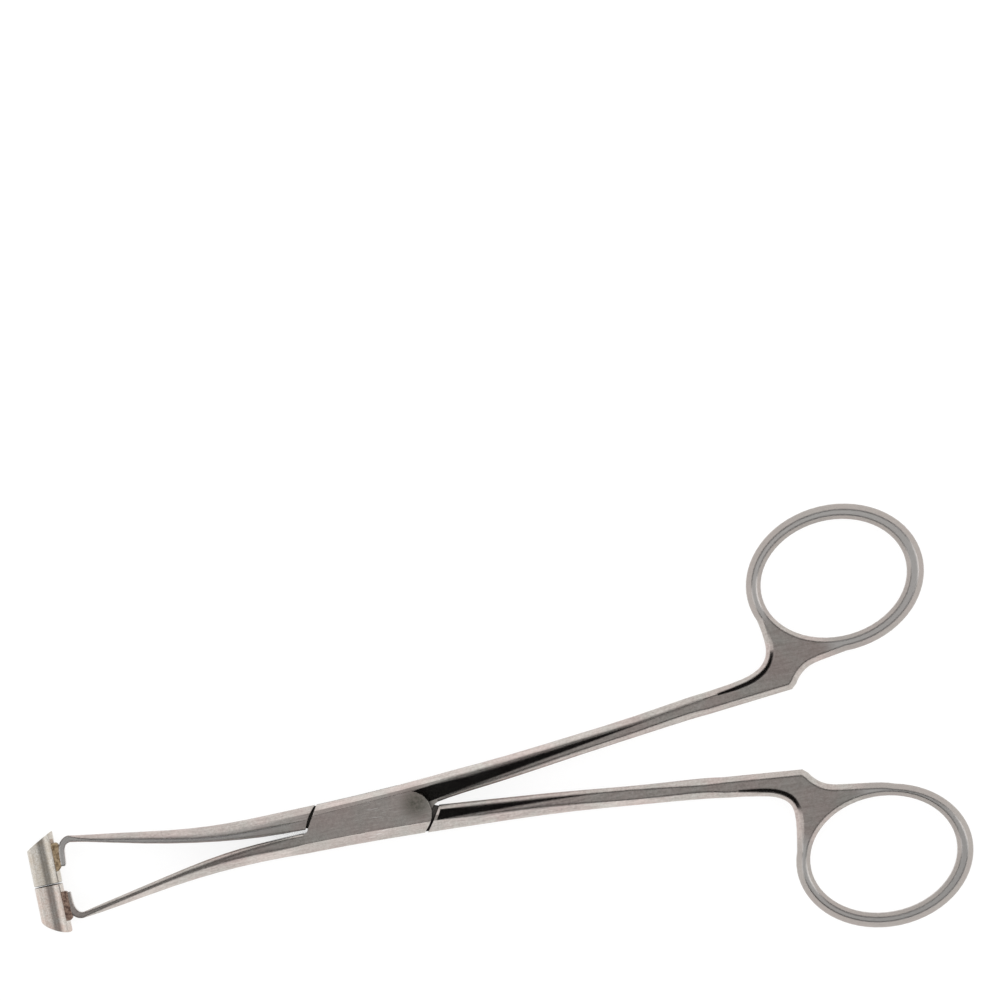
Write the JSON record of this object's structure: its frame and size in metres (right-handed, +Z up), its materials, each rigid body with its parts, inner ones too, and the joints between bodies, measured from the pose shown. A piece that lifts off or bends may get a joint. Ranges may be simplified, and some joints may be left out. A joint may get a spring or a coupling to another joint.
{
  "type": "piercing forceps",
  "caption": "Ring-handled piercing forceps with a box lock, bent jaws and slanted guide tubes that meet end to end.",
  "frame": {"origin": "on the pivot axis of the box lock, at the underside of the box that the instrument lies on", "axes": "+X from the guide tubes towards the finger rings, +Y towards the upper ring, +Z up along the pivot axis"},
  "size_m": [0.1653, 0.0752, 0.0052],
  "materials": {
    "arm_steel": "satin",
    "tube_steel": "bright drawn",
    "tan_braze": "as brazed",
    "copper_braze": "as brazed, heat stained"
  },
  "bodies": {
    "box_side": {"box_arm": "arm_steel", "pivot_pin": "arm_steel", "lower_guide_tube": "tube_steel", "lower_braze": "copper_braze"},
    "tongue_side": {"tongue_arm": "arm_steel", "upper_guide_tube": "tube_steel", "upper_braze": "tan_braze"}
  },
  "joints": [
    {"name": "box_lock", "type": "hinge", "parent": "box_side", "child": "tongue_side", "pos_m": [0, 0, 0.0026], "axis": [0, 0, -1], "range_deg": [0, 90]}
  ]
}
